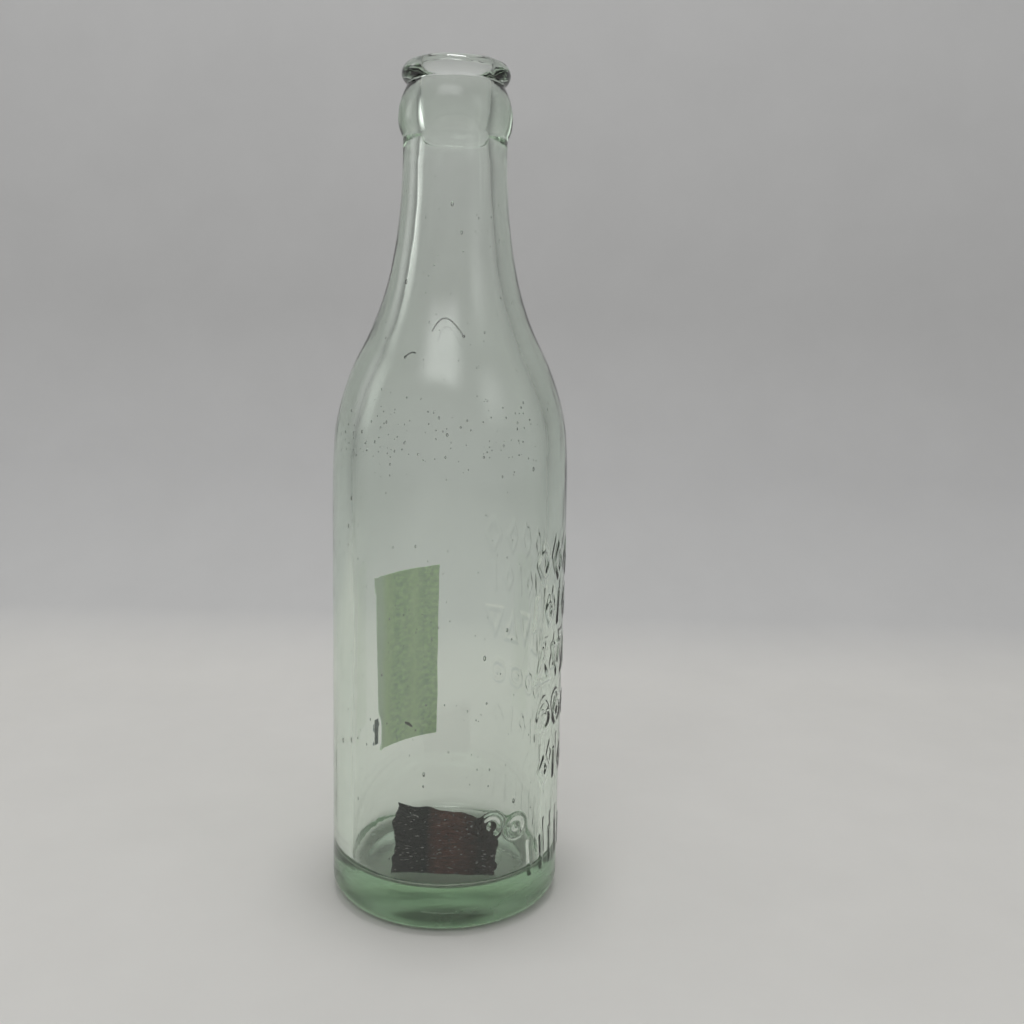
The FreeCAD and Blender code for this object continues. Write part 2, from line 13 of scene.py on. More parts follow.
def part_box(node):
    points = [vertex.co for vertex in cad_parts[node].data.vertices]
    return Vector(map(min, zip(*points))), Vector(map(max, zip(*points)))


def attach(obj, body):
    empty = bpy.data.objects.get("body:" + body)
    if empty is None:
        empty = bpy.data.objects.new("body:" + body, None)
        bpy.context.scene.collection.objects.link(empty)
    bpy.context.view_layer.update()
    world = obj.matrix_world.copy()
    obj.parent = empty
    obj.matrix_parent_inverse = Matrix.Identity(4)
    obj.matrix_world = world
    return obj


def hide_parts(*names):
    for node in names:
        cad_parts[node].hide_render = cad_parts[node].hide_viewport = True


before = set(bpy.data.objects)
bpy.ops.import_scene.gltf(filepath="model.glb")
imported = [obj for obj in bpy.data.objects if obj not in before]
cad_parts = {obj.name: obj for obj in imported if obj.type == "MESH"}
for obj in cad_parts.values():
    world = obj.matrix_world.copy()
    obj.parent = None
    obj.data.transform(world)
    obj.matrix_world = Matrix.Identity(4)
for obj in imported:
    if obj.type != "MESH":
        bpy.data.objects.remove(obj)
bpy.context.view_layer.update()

MM = 0.001
BOTTLE_LOW, BOTTLE_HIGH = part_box("glass_bottle")
HEIGHT = BOTTLE_HIGH.z / MM
RADIUS = -BOTTLE_LOW.x / MM        # read on the side that has no ornament

# ------------------------------------------------------------------ camera and studio, in metres

FOCAL_LENGTH = 38.67
SENSOR_WIDTH = 36.0
CAMERA_PLACE = (15.95 * MM, -280.1 * MM, 146.2 * MM)
CAMERA_PITCH = math.radians(-9.156)
CAMERA_ROLL = math.radians(1.343)
WORLD_STRENGTH = 0.43

# Each light: name, place, aim, width, length, brightness and the softness of its rim.
LIGHTS = [("key", (-0.18, -0.75, 0.99), (0, 0, 0.13), 1.15, 0.54, 1.9, 0.35),
          ("lamp", (0.0, 0.0, 0.9), (0, 0, 0), 0.22, 0.22, 11.0, 0.0),
          ("left_fill", (-0.56, 0.14, 0.31), (0, 0, 0.14), 0.28, 0.44, 1.2, 0.45),
          ("right_fill", (0.60, -0.48, 0.56), (0, 0, 0.14), 0.60, 0.58, 0.9, 0.5)]


def make_camera():
    """A camera in front of the bottle and a little above its middle, looking slightly down."""
    data = bpy.data.cameras.new("camera")
    data.lens = FOCAL_LENGTH
    data.sensor_width = SENSOR_WIDTH
    data.clip_start = 0.01
    camera = bpy.data.objects.new("camera", data)
    bpy.context.scene.collection.objects.link(camera)
    level = Matrix.Rotation(math.radians(90), 4, "X")
    pitch = Matrix.Rotation(CAMERA_PITCH, 4, "X")
    roll = Matrix.Rotation(CAMERA_ROLL, 4, "Z")
    camera.matrix_world = Matrix.Translation(CAMERA_PLACE) @ pitch @ level @ roll
    bpy.context.scene.camera = camera


def area_light(name, place, target, width, length, radiance, softness):
    """A rectangular light of a given brightness, whose rim fades out if softness isn't zero."""
    data = bpy.data.lights.new(name, "AREA")
    data.shape = "RECTANGLE"
    data.size = width
    data.size_y = length
    data.energy = radiance * math.pi * width * length
    if softness > 0:
        soften_rim(data, softness)
    light = bpy.data.objects.new(name, data)
    light.location = place
    aim = Vector(target) - Vector(place)
    light.rotation_euler = aim.to_track_quat("-Z", "Y").to_euler()
    bpy.context.scene.collection.objects.link(light)


def soften_rim(data, softness):
    """Fade the light's emission towards its four edges over a share of its size."""
    data.use_nodes = True
    tree = data.node_tree
    place = tree.nodes.new("ShaderNodeNewGeometry")
    split = tree.nodes.new("ShaderNodeSeparateXYZ")
    tree.links.new(place.outputs["Parametric"], split.inputs["Vector"])
    product = None
    for side in ("X", "Y"):
        for edge in (0.0, 1.0):
            ramp = tree.nodes.new("ShaderNodeMapRange")
            ramp.interpolation_type = "SMOOTHSTEP"
            ramp.inputs["From Min"].default_value = edge
            ramp.inputs["From Max"].default_value = abs(edge - softness)
            tree.links.new(split.outputs[side], ramp.inputs["Value"])
            if product is None:
                product = ramp.outputs["Result"]
                continue
            multiply = tree.nodes.new("ShaderNodeMath")
            multiply.operation = "MULTIPLY"
            tree.links.new(product, multiply.inputs[0])
            tree.links.new(ramp.outputs["Result"], multiply.inputs[1])
            product = multiply.outputs["Value"]
    tree.links.new(product, tree.nodes["Emission"].inputs["Strength"])


def make_light():
    """An even pale world, a broad key above the camera, a lamp overhead and two side fills."""
    world = bpy.data.worlds.new("studio")
    world.use_nodes = True
    background = world.node_tree.nodes["Background"]
    background.inputs["Color"].default_value = (1.0, 1.0, 1.0, 1)
    background.inputs["Strength"].default_value = WORLD_STRENGTH
    bpy.context.scene.world = world
    for light in LIGHTS:
        area_light(*light)


def shade_smooth(mesh):
    mesh.polygons.foreach_set("use_smooth", [True] * len(mesh.polygons))


def make_backdrop(material):
    """A pale floor that sweeps up into a wall behind the bottle."""
    floor_level = -0.0002
    sweep_start, sweep_radius = 0.16, 0.16
    half_width, front, wall_top = 3.0, -2.0, 2.6
    profile = [(front, floor_level), (-0.5, floor_level), (0.0, floor_level)]
    sweep_steps = 24
    for step in range(sweep_steps + 1):
        turn = math.radians(90 * step / sweep_steps)
        profile.append((sweep_start + sweep_radius * math.sin(turn),
                        floor_level + sweep_radius * (1 - math.cos(turn))))
    profile.append((sweep_start + sweep_radius, wall_top))
    vertices = [(side * half_width, along, up) for along, up in profile for side in (-1, 1)]
    faces = [(2 * row, 2 * row + 1, 2 * row + 3, 2 * row + 2) for row in range(len(profile) - 1)]
    mesh = bpy.data.meshes.new("backdrop")
    mesh.from_pydata(vertices, [], faces)
    shade_smooth(mesh)
    mesh.materials.append(material)
    backdrop = bpy.data.objects.new("backdrop", mesh)
    bpy.context.scene.collection.objects.link(backdrop)


# ------------------------------------------------------------------ node helpers

def new_material(name):
    material = bpy.data.materials.new(name)
    material.use_nodes = True
    tree = material.node_tree
    return material, tree, tree.nodes["Principled BSDF"]


def add_node(tree, kind, **values):
    """Add a node; a value whose key is a socket's name sets that socket, others set properties."""
    node = tree.nodes.new(kind)
    for key, value in values.items():
        title = key.replace("_", " ").title()
        if title in node.inputs:
            node.inputs[title].default_value = value
        else:
            setattr(node, key, value)
    return node


def object_axes(tree):
    """The position in object space, as a node with X, Y and Z outputs."""
    coordinates = add_node(tree, "ShaderNodeTexCoord")
    split = add_node(tree, "ShaderNodeSeparateXYZ")
    tree.links.new(coordinates.outputs["Object"], split.inputs["Vector"])
    return split


def object_noise(tree, stretch, scale, detail=3.0, roughness=0.55):
    """Noise in object space, squeezed along each axis by stretch."""
    coordinates = add_node(tree, "ShaderNodeTexCoord")
    mapping = add_node(tree, "ShaderNodeMapping")
    mapping.inputs["Scale"].default_value = stretch
    noise = add_node(tree, "ShaderNodeTexNoise", scale=scale, detail=detail, roughness=roughness)
    tree.links.new(coordinates.outputs["Object"], mapping.inputs["Vector"])
    tree.links.new(mapping.outputs["Vector"], noise.inputs["Vector"])
    return noise


def colour_ramp(tree, source, stops):
    ramp = add_node(tree, "ShaderNodeValToRGB")
    tree.links.new(source, ramp.inputs["Fac"])
    elements = ramp.color_ramp.elements
    while len(elements) < len(stops):
        elements.new(0.5)
    for element, (place, colour) in zip(elements, stops):
        element.position = place
        element.color = (*colour, 1)
    return ramp


def add_bump(tree, shader, height, strength, distance):
    bump = add_node(tree, "ShaderNodeBump", strength=strength, distance=distance)
    tree.links.new(height, bump.inputs["Height"])
    tree.links.new(bump.outputs["Normal"], shader.inputs["Normal"])


def map_range(tree, source, low, high, to_low, to_high):
    node = add_node(tree, "ShaderNodeMapRange")
    node.inputs["From Min"].default_value = low
    node.inputs["From Max"].default_value = high
    node.inputs["To Min"].default_value = to_low
    node.inputs["To Max"].default_value = to_high
    tree.links.new(source, node.inputs["Value"])
    return node.outputs["Result"]


def mix_colours(tree, factor, first, second):
    """Mix a colour output with another one or with a plain colour."""
    mix = add_node(tree, "ShaderNodeMixRGB")
    tree.links.new(factor, mix.inputs["Fac"])
    tree.links.new(first, mix.inputs["Color1"])
    if isinstance(second, tuple):
        mix.inputs["Color2"].default_value = (*second, 1)
    else:
        tree.links.new(second, mix.inputs["Color2"])
    return mix.outputs["Color"]


def combine(tree, operation, first, second):
    """A Math node on two values, each an output or a plain number."""
    node = add_node(tree, "ShaderNodeMath", operation=operation)
    for socket, value in zip(node.inputs, (first, second)):
        if isinstance(value, float):
            socket.default_value = value
        else:
            tree.links.new(value, socket)
    return node.outputs["Value"]


def spot(tree, place, lean, half_sizes):
    """A mask that is 1 inside a small ellipsoid, which leans in the XZ plane, and 0 outside."""
    coordinates = add_node(tree, "ShaderNodeTexCoord")
    mapping = add_node(tree, "ShaderNodeMapping", vector_type="TEXTURE")
    mapping.inputs["Location"].default_value = place
    mapping.inputs["Rotation"].default_value = (0, math.radians(lean), 0)
    mapping.inputs["Scale"].default_value = half_sizes
    ball = add_node(tree, "ShaderNodeTexGradient", gradient_type="SPHERICAL")
    tree.links.new(coordinates.outputs["Object"], mapping.inputs["Vector"])
    tree.links.new(mapping.outputs["Vector"], ball.inputs["Vector"])
    return map_range(tree, ball.outputs["Fac"], 0.0, 0.35, 0.0, 1.0)


# ------------------------------------------------------------------ materials
# Their noises and places are in object space, in metres; colours are linear.

GLASS_IOR = 1.52
GLASS_TINT = (0.20, 0.66, 0.19)
GLASS_DENSITY = 17.5


def glass_material():
    """Pale aqua soda-lime glass: its colour comes from depth, so the base is deep green."""
    material, tree, shader = new_material("aqua_glass")
    shader.inputs["Base Color"].default_value = (1, 1, 1, 1)
    shader.inputs["Transmission Weight"].default_value = 1.0
    shader.inputs["IOR"].default_value = GLASS_IOR
    level = object_axes(tree).outputs["Z"]
    haze = object_noise(tree, (1, 1, 1), 90, detail=4)
    cloudy = map_range(tree, haze.outputs["Fac"], 0.45, 0.8, 0.0, 0.05)
    worn_foot = map_range(tree, level, 0.0016, 0.0045, 0.26, 0.0)
    tree.links.new(combine(tree, "ADD", cloudy, worn_foot), shader.inputs["Roughness"])
    # Gentle ripples everywhere, upright streaks, and level cords in the thick base only.
    ripple = object_noise(tree, (1, 1, 0.25), 160, detail=2)
    streaks = object_noise(tree, (1, 1, 0.03), 420, detail=2)
    cords = object_noise(tree, (0.35, 0.35, 1.5), 260, detail=3)
    in_base = map_range(tree, level, 0.0100, 0.0135, 1.0, 0.0)
    base_cords = combine(tree, "MULTIPLY", cords.outputs["Fac"], in_base)
    strong_cords = combine(tree, "MULTIPLY", base_cords, 3.0)
    faint_streaks = combine(tree, "MULTIPLY", streaks.outputs["Fac"], 0.35)
    drawn = combine(tree, "ADD", faint_streaks, ripple.outputs["Fac"])
    add_bump(tree, shader, combine(tree, "ADD", strong_cords, drawn), 0.12, 0.0004)
    absorption = add_node(tree, "ShaderNodeVolumeAbsorption")
    absorption.inputs["Color"].default_value = (*GLASS_TINT, 1)
    absorption.inputs["Density"].default_value = GLASS_DENSITY
    output = tree.nodes["Material Output"]
    tree.links.new(absorption.outputs["Volume"], output.inputs["Volume"])
    return material


# How strongly the print has bled, from the paper's left edge to its right one.
PRINT_COLUMNS = [(0.0, 0.0), (0.22, 0.05), (0.34, 0.9), (0.48, 0.7), (0.60, 0.15), (0.72, 0.9),
                 (0.86, 0.7), (1.0, 0.5)]


def green_paper_material():
    """Faded green paper with blotches where its print has bled and one dark fleck."""
    material, tree, shader = new_material("green_paper")
    fibres = object_noise(tree, (1, 1, 1), 900, detail=6, roughness=0.7)
    plain = colour_ramp(tree, fibres.outputs["Fac"],
                        [(0.3, (0.55, 0.80, 0.41)), (0.7, (0.68, 0.93, 0.51))])
    sideways = object_axes(tree).outputs["X"]
    place_across = map_range(tree, sideways, -0.026, -0.004, 0.0, 1.0)
    columns = colour_ramp(tree, place_across,
                          [(place, (share,) * 3) for place, share in PRINT_COLUMNS])
    blotches = object_noise(tree, (1, 1, 1.3), 620, detail=4, roughness=0.6)
    bled = map_range(tree, blotches.outputs["Fac"], 0.35, 0.68, 0.0, 1.0)
    amount = combine(tree, "MULTIPLY", columns.outputs["Color"], bled)
    printed = mix_colours(tree, amount, plain.outputs["Color"], (0.34, 0.50, 0.32))
    edge = map_range(tree, sideways, -0.0235, -0.0215, 0.6, 0.0)
    edged = mix_colours(tree, edge, printed, (0.74, 0.95, 0.72))
    fleck = spot(tree, (-0.0143, 0.0266, 0.0348), 40, (0.0020, 0.01, 0.0005))
    spotted = mix_colours(tree, fleck, edged, (0.005, 0.006, 0.005))
    tree.links.new(spotted, shader.inputs["Base Color"])
    shader.inputs["Roughness"].default_value = 0.9
    # Light passes through thin paper, so it is as bright from behind as from in front.
    shader.inputs["Subsurface Weight"].default_value = 0.8
    shader.inputs["Subsurface Radius"].default_value = (1.0, 1.0, 1.0)
    shader.inputs["Subsurface Scale"].default_value = 0.001
    add_bump(tree, shader, fibres.outputs["Fac"], 0.3, 0.0001)
    return material


def dark_paper_material():
    """The blue-black of an older sticker, mottled where it has worn."""
    material, tree, shader = new_material("dark_paper")
    fibres = object_noise(tree, (1, 1, 1), 1500, detail=6, roughness=0.7)
    ramp = colour_ramp(tree, fibres.outputs["Fac"],
                       [(0.35, (0.05, 0.07, 0.10)), (0.7, (0.20, 0.24, 0.28))])
    tree.links.new(ramp.outputs["Color"], shader.inputs["Base Color"])
    shader.inputs["Roughness"].default_value = 0.85
    return material


def scrap_material():
    """Near-black old cork with a reddish-brown band, a fine level grain and pale specks of painted
    highlight.
    """
    material, tree, shader = new_material("dark_scrap")
    grain = object_noise(tree, (0.35, 0.35, 1.6), 1300, detail=6, roughness=0.7)
    # Pale specks on the grain are painted highlights on the rough surface.
    specks = object_noise(tree, (0.5, 0.5, 1.8), 1500, detail=1)
    painted_glints = map_range(tree, specks.outputs["Fac"], 0.66, 0.70, 0.0, 1.0)
    dark = colour_ramp(tree, grain.outputs["Fac"],
                       [(0.35, (0.001, 0.001, 0.001)), (0.60, (0.005, 0.004, 0.004)),
                        (0.72, (0.06, 0.057, 0.052))])
    brown = colour_ramp(tree, grain.outputs["Fac"],
                        [(0.3, (0.012, 0.005, 0.004)), (0.56, (0.12, 0.036, 0.024)),
                         (0.68, (0.20, 0.09, 0.06))])
    sideways = object_axes(tree).outputs["X"]
    left = map_range(tree, sideways, -0.004, -0.001, 0.0, 1.0)
    right = map_range(tree, sideways, 0.003, 0.009, 1.0, 0.15)
    band = combine(tree, "MULTIPLY", left, right)
    banded = mix_colours(tree, band, dark.outputs["Color"], brown.outputs["Color"])
    # Mix in the pale specks of painted highlight.
    with_painted_glints = mix_colours(tree, painted_glints, banded, (0.30, 0.29, 0.27))
    tree.links.new(with_painted_glints, shader.inputs["Base Color"])
    shader.inputs["Roughness"].default_value = 0.75
    shader.inputs["Specular IOR Level"].default_value = 0.05
    add_bump(tree, shader, grain.outputs["Fac"], 0.8, 0.0006)
    return material


def backdrop_material():
    """A pale floor, greyed by painted shade as it rises into a wall, and fading far away into a
    painted glow.
    """
    material, tree, shader = new_material("pale_backdrop")
    place = object_axes(tree)
    # Painted shade: the floor's pale colour drops quickly at the foot of the wall and stays grey up
    # it.
    rise = map_range(tree, place.outputs["Z"], 0.0, 0.30, 0.0, 1.0)
    ramp = colour_ramp(tree, rise, [(0.0, (0.785, 0.775, 0.745)), (0.05, (0.63, 0.63, 0.625)),
                                    (0.25, (0.57, 0.57, 0.57)), (0.6, (0.575, 0.575, 0.575)),
                                    (1.0, (0.60, 0.60, 0.60))])
    mottle = object_noise(tree, (1, 1, 1), 30, detail=5)
    shade = map_range(tree, mottle.outputs["Fac"], 0.3, 0.7, 0.97, 1.0)
    # Painted shade, darker towards both sides, which gives the glass its dark outlines.
    aside = combine(tree, "ABSOLUTE", place.outputs["X"], 0.0)
    painted_side_shade = map_range(tree, aside, 0.30, 0.70, 1.0, 0.68)
    mix = add_node(tree, "ShaderNodeMixRGB", blend_type="MULTIPLY")
    mix.inputs["Fac"].default_value = 1.0
    tree.links.new(ramp.outputs["Color"], mix.inputs["Color1"])
    tree.links.new(combine(tree, "MULTIPLY", shade, painted_side_shade), mix.inputs["Color2"])
    # Far from the bottle its colour fades to black and it glows with painted light as bright as the
    # world, so its ends don't show.
    coordinates = add_node(tree, "ShaderNodeTexCoord")
    reach = add_node(tree, "ShaderNodeVectorMath", operation="LENGTH")
    tree.links.new(coordinates.outputs["Object"], reach.inputs[0])
    far = map_range(tree, reach.outputs["Value"], 0.9, 1.9, 0.0, 1.0)
    fading = mix_colours(tree, far, mix.outputs["Color"], (0, 0, 0))
    tree.links.new(fading, shader.inputs["Base Color"])
    painted_glow = map_range(tree, far, 0.0, 1.0, 0.0, WORLD_STRENGTH)
    shader.inputs["Emission Color"].default_value = (1, 1, 1, 1)
    tree.links.new(painted_glow, shader.inputs["Emission Strength"])
    shader.inputs["Roughness"].default_value = 0.7
    shader.inputs["Specular IOR Level"].default_value = 0.0
    return material


# ------------------------------------------------------------------ outlines, in millimetres

def arc(centre, radius, from_degrees, to_degrees, spacing):
    """Points along an arc, about one every spacing."""
    count = max(2, math.ceil(abs(math.radians(to_degrees - from_degrees)) * radius / spacing))
    turns = [math.radians(from_degrees + (to_degrees - from_degrees) * step / count)
             for step in range(count + 1)]
    return [(centre[0] + radius * math.cos(turn), centre[1] + radius * math.sin(turn))
            for turn in turns]


def straight(start, end, spacing):
    count = max(1, math.ceil(math.dist(start, end) / spacing))
    return [(start[0] + (end[0] - start[0]) * step / count,
             start[1] + (end[1] - start[1]) * step / count) for step in range(count + 1)]


def chain(*stretches):
    """Join stretches of outline end to end without repeating their shared points."""
    points = list(stretches[0])
    for stretch in stretches[1:]:
        points += [point for point in stretch if math.dist(point, points[-1]) > 1e-4]
    return points


SHOULDER_START = 112.5
SHOULDER_RADIUS = 64.0
FLANK_ANGLE = 27.2
SWEEP_RADIUS = 70.0
NECK_START = 161.9
NECK_SWEEP_RADIUS = 140.0


def shoulder_and_neck(radius, shoulder_radius, sweep_radius, long_radius, neck_radius, joint,
                      spacing):
    """The convex shoulder, the short straight flank and two concave arcs up to the neck.

    The height where the two arcs meet is found by halving the range of its angle.
    """
    lean = math.radians(FLANK_ANGLE)
    centre = (radius - shoulder_radius, SHOULDER_START)
    convex = arc(centre, shoulder_radius, 0, FLANK_ANGLE, spacing)
    top = convex[-1]
    low, high = 0.0, lean
    for _ in range(50):
        turn = (low + high) / 2
        drop = (sweep_radius * (math.cos(turn) - math.cos(lean))
                + long_radius * (1 - math.cos(turn)))
        flank = (top[0] - neck_radius - drop) / math.sin(lean)
        flank_end = (top[0] - flank * math.sin(lean), top[1] + flank * math.cos(lean))
        sweep_centre = (flank_end[0] + sweep_radius * math.cos(lean),
                        flank_end[1] + sweep_radius * math.sin(lean))
        if sweep_centre[1] - sweep_radius * math.sin(turn) > joint:
            low = turn
        else:
            high = turn
    degrees = 180 + math.degrees(turn)
    long_centre = (neck_radius + long_radius,
                   sweep_centre[1] + (long_radius - sweep_radius) * math.sin(turn))
    return chain(convex, straight(top, flank_end, spacing),
                 arc(sweep_centre, sweep_radius, 180 + FLANK_ANGLE, degrees, spacing),
                 arc(long_centre, long_radius, degrees, 180, spacing))


HEEL_RADIUS = 4.6
RING_RADIUS = 22.0
PUSH_UP = 3.2
FLOOR = 10.0
CORNER_RADIUS = 3.0
BORE_RADIUS = 25.0
BODY_WALL = 5.0
NECK_WALL = 4.5
NECK_RADIUS = 12.85
NECK_BORE_RADIUS = 8.85
COLLAR_RADIUS = 14.05
COLLAR_WIDEST = 197.3
COLLAR_ROUND = 8.0
CREASE_RADIUS = 11.65
BEAD_RADIUS = 2.6
BEAD_ACROSS = 13.35
MOUTH_RADIUS = 8.4
MOUTH_START = 192.0
MOUTH_ROUNDING = 1.3
PANEL_FOOT, PANEL_TOP = 10.5, 97.5
FINE, COARSE = 0.4, 1.2        # distances between points of an outline


def outer_outline():
    """From the middle of the push-up, out and up to the inner edge of the lip."""
    dome_radius = (RING_RADIUS ** 2 + PUSH_UP ** 2) / (2 * PUSH_UP)
    dome_edge = math.degrees(math.acos(RING_RADIUS / dome_radius))
    bead_centre = (BEAD_ACROSS - BEAD_RADIUS, HEIGHT - BEAD_RADIUS)
    crease_turn = -math.acos((CREASE_RADIUS - bead_centre[0]) / BEAD_RADIUS)
    crease = (CREASE_RADIUS, bead_centre[1] + BEAD_RADIUS * math.sin(crease_turn))
    collar_centre = (COLLAR_RADIUS - COLLAR_ROUND, COLLAR_WIDEST)
    collar_foot = -math.degrees(math.acos((NECK_RADIUS - collar_centre[0]) / COLLAR_ROUND))
    collar = arc(collar_centre, COLLAR_ROUND, collar_foot, 0, FINE)
    inset, rise = COLLAR_RADIUS - CREASE_RADIUS, crease[1] - COLLAR_WIDEST
    barrel_radius = (inset ** 2 + rise ** 2) / (2 * inset)
    barrel_top = math.degrees(math.asin(rise / barrel_radius))
    barrel = arc((COLLAR_RADIUS - barrel_radius, COLLAR_WIDEST), barrel_radius, 0, barrel_top, FINE)
    rising = shoulder_and_neck(RADIUS, SHOULDER_RADIUS, SWEEP_RADIUS, NECK_SWEEP_RADIUS,
                               NECK_RADIUS, NECK_START, COARSE)
    lip_edge = (MOUTH_RADIUS + MOUTH_ROUNDING, HEIGHT)
    return chain(
        arc((0, PUSH_UP - dome_radius), dome_radius, 90, dome_edge, COARSE),
        straight((RING_RADIUS, 0), (RADIUS - HEEL_RADIUS, 0), COARSE),
        arc((RADIUS - HEEL_RADIUS, HEEL_RADIUS), HEEL_RADIUS, -90, 0, FINE),
        straight((RADIUS, HEEL_RADIUS), (RADIUS, PANEL_FOOT), COARSE),
        straight((RADIUS, PANEL_FOOT), (RADIUS, PANEL_TOP), FINE),
        straight((RADIUS, PANEL_TOP), (RADIUS, SHOULDER_START), COARSE),
        rising,
        straight(rising[-1], collar[0], COARSE),
        collar,
        barrel,
        arc(bead_centre, BEAD_RADIUS, math.degrees(crease_turn), 90, FINE),
        straight((bead_centre[0], HEIGHT), lip_edge, FINE))


def inner_outline():
    """From the inner edge of the lip down the inside to the middle of the floor."""
    rising = shoulder_and_neck(BORE_RADIUS, SHOULDER_RADIUS - BODY_WALL,
                               SWEEP_RADIUS + NECK_WALL, NECK_SWEEP_RADIUS + NECK_WALL,
                               NECK_BORE_RADIUS, NECK_START - NECK_WALL / 2, COARSE)
    upward = chain(
        straight((0, FLOOR), (BORE_RADIUS - CORNER_RADIUS, FLOOR), COARSE),
        arc((BORE_RADIUS - CORNER_RADIUS, FLOOR + CORNER_RADIUS), CORNER_RADIUS, -90, 0, FINE),
        straight((BORE_RADIUS, FLOOR + CORNER_RADIUS), (BORE_RADIUS, SHOULDER_START), COARSE),
        rising,
        straight(rising[-1], (MOUTH_RADIUS, MOUTH_START), COARSE),
        straight((MOUTH_RADIUS, MOUTH_START), (MOUTH_RADIUS, HEIGHT - MOUTH_ROUNDING), COARSE),
        arc((MOUTH_RADIUS + MOUTH_ROUNDING, HEIGHT - MOUTH_ROUNDING), MOUTH_ROUNDING, 180, 90,
            FINE))
    return upward[::-1]


# ------------------------------------------------------------------ the moulded ornament

RELIEF_HEIGHT = 0.22
STROKE = 1.2
SLOPE_WIDTH = 0.85        # width of the rounded slope at the rim of a mark
MARK_REACH_ACROSS, MARK_REACH_UP = 6.5, 7.0        # no mark is larger than this
RING_MARK_RADIUS, RING_BEAD_RADIUS = 3.4, 1.0


def diamond_mark(half_width, half_height):
    inner = 1 - STROKE * math.hypot(half_width, half_height) / (half_width * half_height)
    corners = [(half_width, 0), (0, half_height), (-half_width, 0), (0, -half_height)]
    return [corners, [(across * inner, up * inner) for across, up in corners]]


def triangle_mark(half_width, half_height, points_up):
    way = 1 if points_up else -1
    corners = [(-half_width, -half_height * way), (half_width, -half_height * way),
               (0, half_height * way)]
    inner_radius = (2 * half_width * half_height
                    / (half_width + math.hypot(half_width, 2 * half_height)))
    inner = 1 - STROKE / inner_radius
    middle = -way * (half_height - inner_radius)
    return [corners, [(across * inner, middle + (up - middle) * inner) for across, up in corners]]


def slanted_bar_mark(half_height, lean):
    half_width = STROKE / 2
    return [[(-half_width - lean, -half_height), (half_width - lean, -half_height),
             (half_width + lean, half_height), (-half_width + lean, half_height)]]


def round_outline(radius):
    turns = [math.radians(15 * step) for step in range(24)]
    return [(radius * math.cos(turn), radius * math.sin(turn)) for turn in turns]


def ornament_marks():
    """Every mark as (direction in degrees, height, outlines in the plane of the wall there).

    Each loop makes one row: its direction is a start and a pitch, both in degrees.
    """
    ring = [round_outline(RING_MARK_RADIUS), round_outline(RING_MARK_RADIUS - STROKE)]
    bead = [round_outline(RING_BEAD_RADIUS)]
    marks = []
    for step in range(8):
        marks.append((-36 + 14.5 * step, 91.0, diamond_mark(2.9, 5.1)))
    for step in range(11):
        outlines = [slanted_bar_mark(4.2, 0.4), diamond_mark(2.3, 4.2)][step % 2]
        marks.append((-41 + 10.5 * step, 79.0, outlines))
    for step in range(8):
        marks.append((-35 + 14.0 * step, 65.6, triangle_mark(3.6, 4.6, step % 2 == 0)))
    for step in range(7):
        marks.append((-33 + 15.5 * step, 51.4, ring))
        marks.append((-33 + 15.5 * step, 51.4, bead))
    for step in range(9):
        outlines = [diamond_mark(2.5, 3.9), slanted_bar_mark(3.9, 0.0)][step % 2]
        marks.append((-32 + 11.5 * step, 37.9, outlines))
    for step in range(2):
        marks.append((-65 + 13.5 * step, 27.5 - 1.5 * step, ring))
        marks.append((-65 + 13.5 * step, 27.5 - 1.5 * step, bead))
    for step in range(13):
        marks.append((-42 + 9.5 * step, 16.3, slanted_bar_mark(4.7, -0.5)))
    return marks


def fade(value, low, high):
    """Rise smoothly from 0 at low to 1 at high."""
    share = np.clip((value - low) / (high - low), 0, 1)
    return share * share * (3 - 2 * share)


def distance_inside(outline, across, up):
    """Signed distance to a closed outline, positive inside it."""
    nearest = np.full(across.shape, 1e9)
    inside = np.zeros(across.shape, bool)
    for (x0, y0), (x1, y1) in zip(outline, outline[1:] + outline[:1]):
        run, rise = x1 - x0, y1 - y0
        along = ((across - x0) * run + (up - y0) * rise) / (run * run + rise * rise)
        along = np.clip(along, 0, 1)
        gap = np.hypot(across - x0 - along * run, up - y0 - along * rise)
        nearest = np.minimum(nearest, gap)
        if rise != 0:
            crosses = (y0 > up) != (y1 > up)
            inside ^= crosses & (across < run * (up - y0) / rise + x0)
    return np.where(inside, nearest, -nearest)


def relief_at(direction, height):
    """How far the moulded marks stand out at each place of the wall, in millimetres."""
    relief = np.zeros(direction.shape)
    for mark_direction, mark_height, outlines in ornament_marks():
        across = (direction - mark_direction) * math.radians(1) * RADIUS
        up = height - mark_height
        near = (np.abs(across) < MARK_REACH_ACROSS) & (np.abs(up) < MARK_REACH_UP)
        if not near.any():
            continue
        depth = distance_inside(outlines[0], across[near], up[near])
        for hole in outlines[1:]:
            depth = np.minimum(depth, -distance_inside(hole, across[near], up[near]))
        raised = RELIEF_HEIGHT * fade(depth, -SLOPE_WIDTH / 2, SLOPE_WIDTH / 2)
        relief[near] = np.maximum(relief[near], raised)
    return relief


# ------------------------------------------------------------------ glass

def ripples(direction, height, seed, waves):
    """Smooth unevenness of blown glass: a sum of waves that closes round the bottle."""
    generator = np.random.default_rng(seed)
    total = np.zeros(direction.shape)
    for size, turns, length in waves:
        phase, rise = generator.uniform(0, 2 * math.pi, 2)
        sway = np.sin(2 * math.pi * height / length + rise)
        total += size * np.sin(turns * np.radians(direction) + phase + 1.5 * sway)
    return total


# Waves in the glass: size in mm, turns round the bottle and length up it in mm.
OUTER_WAVES = [(0.02, 3, 90), (0.015, 5, 60), (0.008, 9, 35), (0.005, 14, 22)]
INNER_WAVES = [(0.10, 1, 190), (0.06, 2, 150), (0.035, 3, 110), (0.015, 5, 70), (0.008, 8, 40),
               (0.005, 13, 25)]
LIP_WAVES = [(0.03, 5, 17), (0.03, 9, 11), (0.02, 14, 8), (0.01, 23, 6)]
OUTER_INSET, LIP_INSET = 0.05, 0.09        # keep the waves inside the true outline


